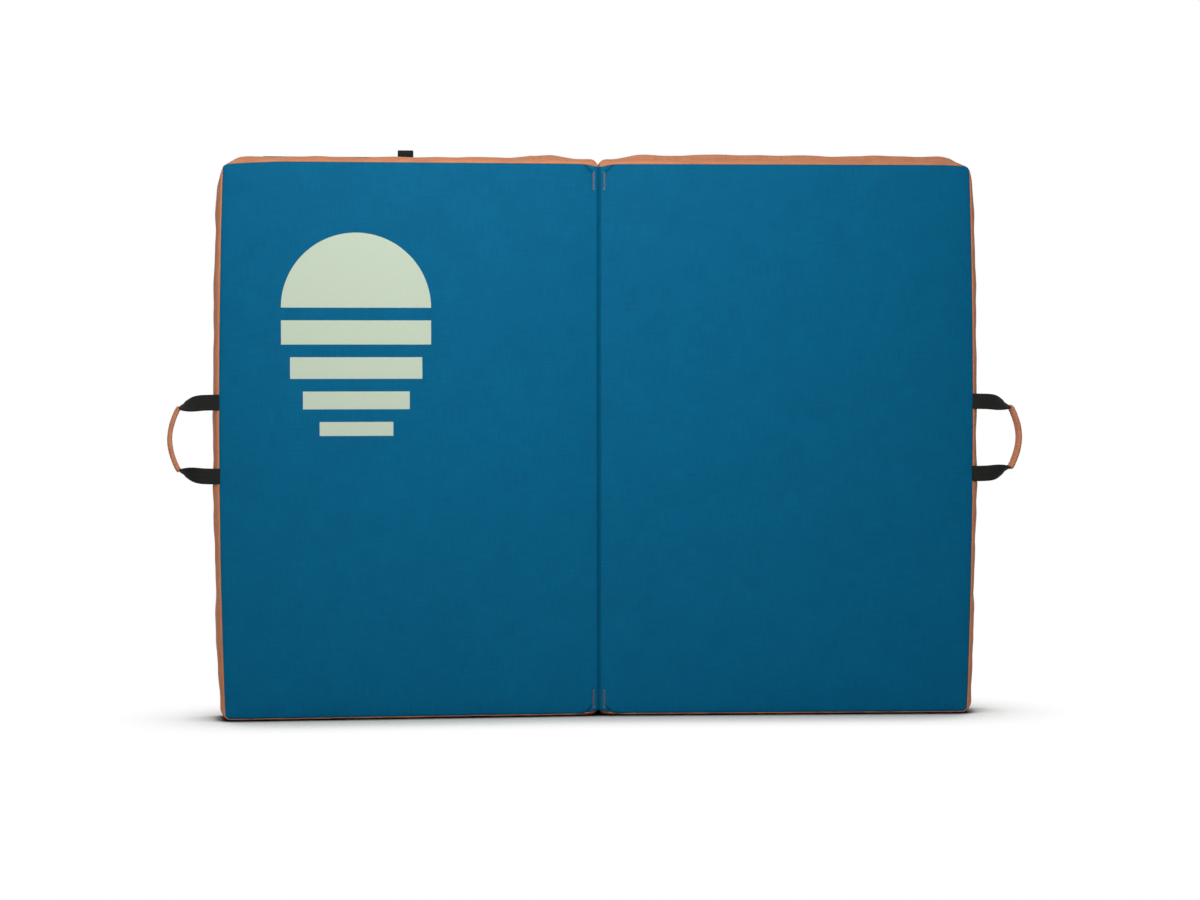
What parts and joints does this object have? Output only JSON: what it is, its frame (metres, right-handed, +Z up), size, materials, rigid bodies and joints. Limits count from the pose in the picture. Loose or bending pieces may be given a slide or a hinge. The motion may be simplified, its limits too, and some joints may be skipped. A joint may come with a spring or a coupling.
{
  "type": "bouldering crash pad",
  "caption": "Hinged climbing crash pad standing open: layered foam panels in fabric covers, side handles, closure straps with wire hooks and a carry harness.",
  "frame": {"origin": "floor level, below the middle of the bounding box of the pad as it stands open on its lower edges", "axes": "+Z up; the landing side faces -Y, the carry side faces +Y; +X runs along the open pad from the left panel to the right panel"},
  "size_m": [1.365, 0.3502, 0.9059],
  "materials": {
    "blue_nylon": "coated woven nylon",
    "orange_nylon": "coated woven nylon",
    "base_nylon": "heavy woven nylon",
    "black_webbing": "flat woven webbing",
    "closed_cell_foam": "closed-cell polyethylene foam",
    "open_cell_foam": "open-cell polyurethane foam",
    "black_plastic": "moulded acetal",
    "hook_wire": "bent wire",
    "zipper": "coil zipper on tape"
  },
  "bodies": {
    "left_panel": {"left_boxing": "orange_nylon", "left_landing_cover": "blue_nylon", "left_hinge_leaf": "blue_nylon", "left_base_cover": "base_nylon", "left_landing_foam": "closed_cell_foam", "left_core_foam": "open_cell_foam", "left_base_foam": "closed_cell_foam", "left_handle_upper_end": "black_webbing", "left_handle_lower_end": "black_webbing", "left_zipper": "zipper", "top_loop_tab": "black_webbing", "bottom_loop_tab": "black_webbing", "shoulder_yoke": "base_nylon", "waist_patch": "base_nylon", "haul_loop": "black_webbing", "left_strap_upper_tab": "black_webbing", "left_strap_lower_tab": "black_webbing", "right_strap_upper_tab": "black_webbing", "right_strap_lower_tab": "black_webbing"},
    "right_panel": {"right_boxing": "orange_nylon", "right_landing_cover": "blue_nylon", "right_hinge_leaf": "blue_nylon", "right_base_cover": "base_nylon", "right_landing_foam": "closed_cell_foam", "right_core_foam": "open_cell_foam", "right_base_foam": "closed_cell_foam", "right_handle_upper_end": "black_webbing", "right_handle_lower_end": "black_webbing", "right_zipper": "zipper"},
    "left_handle": {"left_handle_webbing": "black_webbing", "left_handle_sleeve": "orange_nylon"},
    "right_handle": {"right_handle_webbing": "black_webbing", "right_handle_sleeve": "orange_nylon"},
    "top_closure": {"top_closure_strap": "black_webbing", "top_closure_keeper": "black_plastic"},
    "top_hook": {"top_closure_hook": "hook_wire"},
    "bottom_closure": {"bottom_closure_strap": "black_webbing", "bottom_closure_keeper": "black_plastic"},
    "bottom_hook": {"bottom_closure_hook": "hook_wire"},
    "left_slider": {"left_zipper_slider": "black_plastic"},
    "left_pull": {"left_zipper_pull": "black_plastic"},
    "right_slider": {"right_zipper_slider": "black_plastic"},
    "right_pull": {"right_zipper_pull": "black_plastic"},
    "left_shoulder": {"left_strap_pad": "base_nylon", "left_strap_keeper": "black_webbing", "left_ladder_lock": "black_plastic", "left_strap_webbing": "black_webbing"},
    "right_shoulder": {"right_strap_pad": "base_nylon", "right_strap_keeper": "black_webbing", "right_ladder_lock": "black_plastic", "right_strap_webbing": "black_webbing"},
    "left_hip": {"left_hip_belt": "black_webbing", "hip_buckle_socket": "black_plastic"},
    "right_hip": {"right_hip_belt": "black_webbing", "hip_buckle_prongs": "black_plastic"}
  },
  "joints": [
    {"name": "fold", "type": "hinge", "parent": "left_panel", "child": "right_panel", "pos_m": [0, -0.15192, 0.445], "axis": [0, 0, -1], "range_deg": [-4.6, 175.4]},
    {"name": "left_handle_swing", "type": "hinge", "parent": "left_panel", "child": "left_handle", "pos_m": [-0.61076, -0.17185, 0.445], "axis": [0, 0, -1], "range_deg": [-80, 50]},
    {"name": "right_handle_swing", "type": "hinge", "parent": "right_panel", "child": "right_handle", "pos_m": [0.61076, -0.17185, 0.445], "axis": [0, 0, 1], "range_deg": [-80, 50]},
    {"name": "top_closure_swing", "type": "hinge", "parent": "right_panel", "child": "top_closure", "pos_m": [0.30474, -0.06478, 0.881], "axis": [0.9992, -0.0401, 0], "range_deg": [0, 210]},
    {"name": "top_hook_swing", "type": "hinge", "parent": "top_closure", "child": "top_hook", "pos_m": [0.30487, -0.06158, 0.681], "axis": [0.9992, -0.0401, 0], "range_deg": [0, 60]},
    {"name": "bottom_closure_swing", "type": "hinge", "parent": "right_panel", "child": "bottom_closure", "pos_m": [0.30466, -0.06678, 0.004], "axis": [0.9992, -0.0401, 0], "range_deg": [-90, 75]},
    {"name": "bottom_hook_swing", "type": "hinge", "parent": "bottom_closure", "child": "bottom_hook", "pos_m": [0.31269, 0.13306, 0.006], "axis": [0.9992, -0.0401, 0], "range_deg": [0, 60]},
    {"name": "left_zipper_slide", "type": "slide", "parent": "left_panel", "child": "left_slider", "axis": [-0.9992, -0.0401, 0], "range_m": [0, 0.446]},
    {"name": "left_pull_flip", "type": "hinge", "parent": "left_slider", "child": "left_pull", "pos_m": [-0.08445, -0.09246, 0.8957], "axis": [-0.0401, 0.9992, 0], "range_deg": [0, 170]},
    {"name": "right_zipper_slide", "type": "slide", "parent": "right_panel", "child": "right_slider", "axis": [0.9992, -0.0401, 0], "range_m": [0, 0.446]},
    {"name": "right_pull_flip", "type": "hinge", "parent": "right_slider", "child": "right_pull", "pos_m": [0.08445, -0.09246, 0.8957], "axis": [-0.0401, -0.9992, 0], "range_deg": [0, 170]},
    {"name": "left_shoulder_swing", "type": "hinge", "parent": "left_panel", "child": "left_shoulder", "pos_m": [-0.20538, -0.04698, 0.735], "axis": [0, 0, 1], "range_deg": [-25, 25]},
    {"name": "right_shoulder_swing", "type": "hinge", "parent": "left_panel", "child": "right_shoulder", "pos_m": [-0.40522, -0.055, 0.735], "axis": [0, 0, 1], "range_deg": [-25, 25]},
    {"name": "left_hip_swing", "type": "hinge", "parent": "left_panel", "child": "left_hip", "pos_m": [-0.13487, -0.05826, 0.3], "axis": [0.9992, 0.0401, 0], "range_deg": [0, 120]},
    {"name": "right_hip_swing", "type": "hinge", "parent": "left_panel", "child": "right_hip", "pos_m": [-0.47459, -0.0719, 0.3], "axis": [0.9992, 0.0401, 0], "range_deg": [0, 120]}
  ]
}
